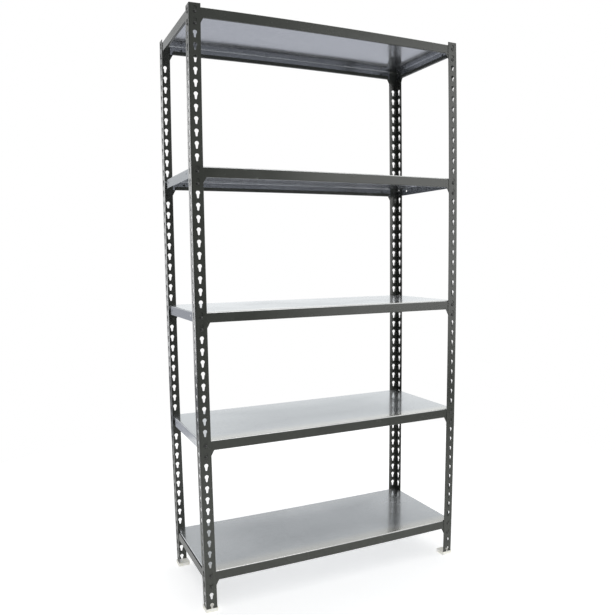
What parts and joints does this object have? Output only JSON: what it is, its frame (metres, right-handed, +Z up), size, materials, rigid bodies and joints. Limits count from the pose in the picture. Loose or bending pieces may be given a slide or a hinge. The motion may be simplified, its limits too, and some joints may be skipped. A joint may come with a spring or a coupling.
{
  "type": "boltless steel shelving",
  "caption": "Free-standing boltless shelving with slotted angle posts, hooked steel beams, drop-in folded steel panels and plastic feet.",
  "frame": {"origin": "on the floor at the middle of the rack's footprint", "axes": "+X to the right along the long side, +Y from the front to the rear, +Z up"},
  "size_m": [1.025, 0.417, 1.9837],
  "materials": {
    "post_paint": "semi-gloss graphite powder coat",
    "beam_paint": "semi-gloss graphite powder coat",
    "rivet_paint": "semi-gloss graphite powder coat over pressed steel",
    "galvanised_sheet": "bright galvanised, smooth and glossy",
    "foot_plastic": "natural translucent polyethylene, satin"
  },
  "bodies": {
    "uprights": {"post_front_left": "post_paint", "post_front_right": "post_paint", "post_rear_left": "post_paint", "post_rear_right": "post_paint", "foot_front_left": "foot_plastic", "foot_front_right": "foot_plastic", "foot_rear_left": "foot_plastic", "foot_rear_right": "foot_plastic"},
    "level_1": {"front_beam_1": "beam_paint", "rear_beam_1": "beam_paint", "left_beam_1": "beam_paint", "right_beam_1": "beam_paint", "rivets_1": "rivet_paint"},
    "shelf_1": {"shelf_panel_1": "galvanised_sheet"},
    "level_2": {"front_beam_2": "beam_paint", "rear_beam_2": "beam_paint", "rivets_2": "rivet_paint"},
    "shelf_2": {"shelf_panel_2": "galvanised_sheet"},
    "level_3": {"front_beam_3": "beam_paint", "rear_beam_3": "beam_paint", "rivets_3": "rivet_paint"},
    "shelf_3": {"shelf_panel_3": "galvanised_sheet"},
    "level_4": {"front_beam_4": "beam_paint", "rear_beam_4": "beam_paint", "rivets_4": "rivet_paint"},
    "shelf_4": {"shelf_panel_4": "galvanised_sheet"},
    "level_5": {"front_beam_5": "beam_paint", "rear_beam_5": "beam_paint", "left_beam_5": "beam_paint", "right_beam_5": "beam_paint", "rivets_5": "rivet_paint"},
    "shelf_5": {"shelf_panel_5": "galvanised_sheet"}
  },
  "joints": [
    {"name": "level_1_unhook", "type": "slide", "parent": "uprights", "child": "level_1", "axis": [0, 0, 1], "range_m": [0, 0.0105]},
    {"name": "shelf_1_lift", "type": "slide", "parent": "level_1", "child": "shelf_1", "axis": [0, 0, 1], "range_m": [0, 0.06]},
    {"name": "level_2_unhook", "type": "slide", "parent": "uprights", "child": "level_2", "axis": [0, 0, 1], "range_m": [0, 0.0105]},
    {"name": "shelf_2_lift", "type": "slide", "parent": "level_2", "child": "shelf_2", "axis": [0, 0, 1], "range_m": [0, 0.06]},
    {"name": "level_3_unhook", "type": "slide", "parent": "uprights", "child": "level_3", "axis": [0, 0, 1], "range_m": [0, 0.0105]},
    {"name": "shelf_3_lift", "type": "slide", "parent": "level_3", "child": "shelf_3", "axis": [0, 0, 1], "range_m": [0, 0.06]},
    {"name": "level_4_unhook", "type": "slide", "parent": "uprights", "child": "level_4", "axis": [0, 0, 1], "range_m": [0, 0.0105]},
    {"name": "shelf_4_lift", "type": "slide", "parent": "level_4", "child": "shelf_4", "axis": [0, 0, 1], "range_m": [0, 0.06]},
    {"name": "level_5_unhook", "type": "slide", "parent": "uprights", "child": "level_5", "axis": [0, 0, 1], "range_m": [0, 0.0105]},
    {"name": "shelf_5_lift", "type": "slide", "parent": "level_5", "child": "shelf_5", "axis": [0, 0, 1], "range_m": [0, 0.06]}
  ]
}
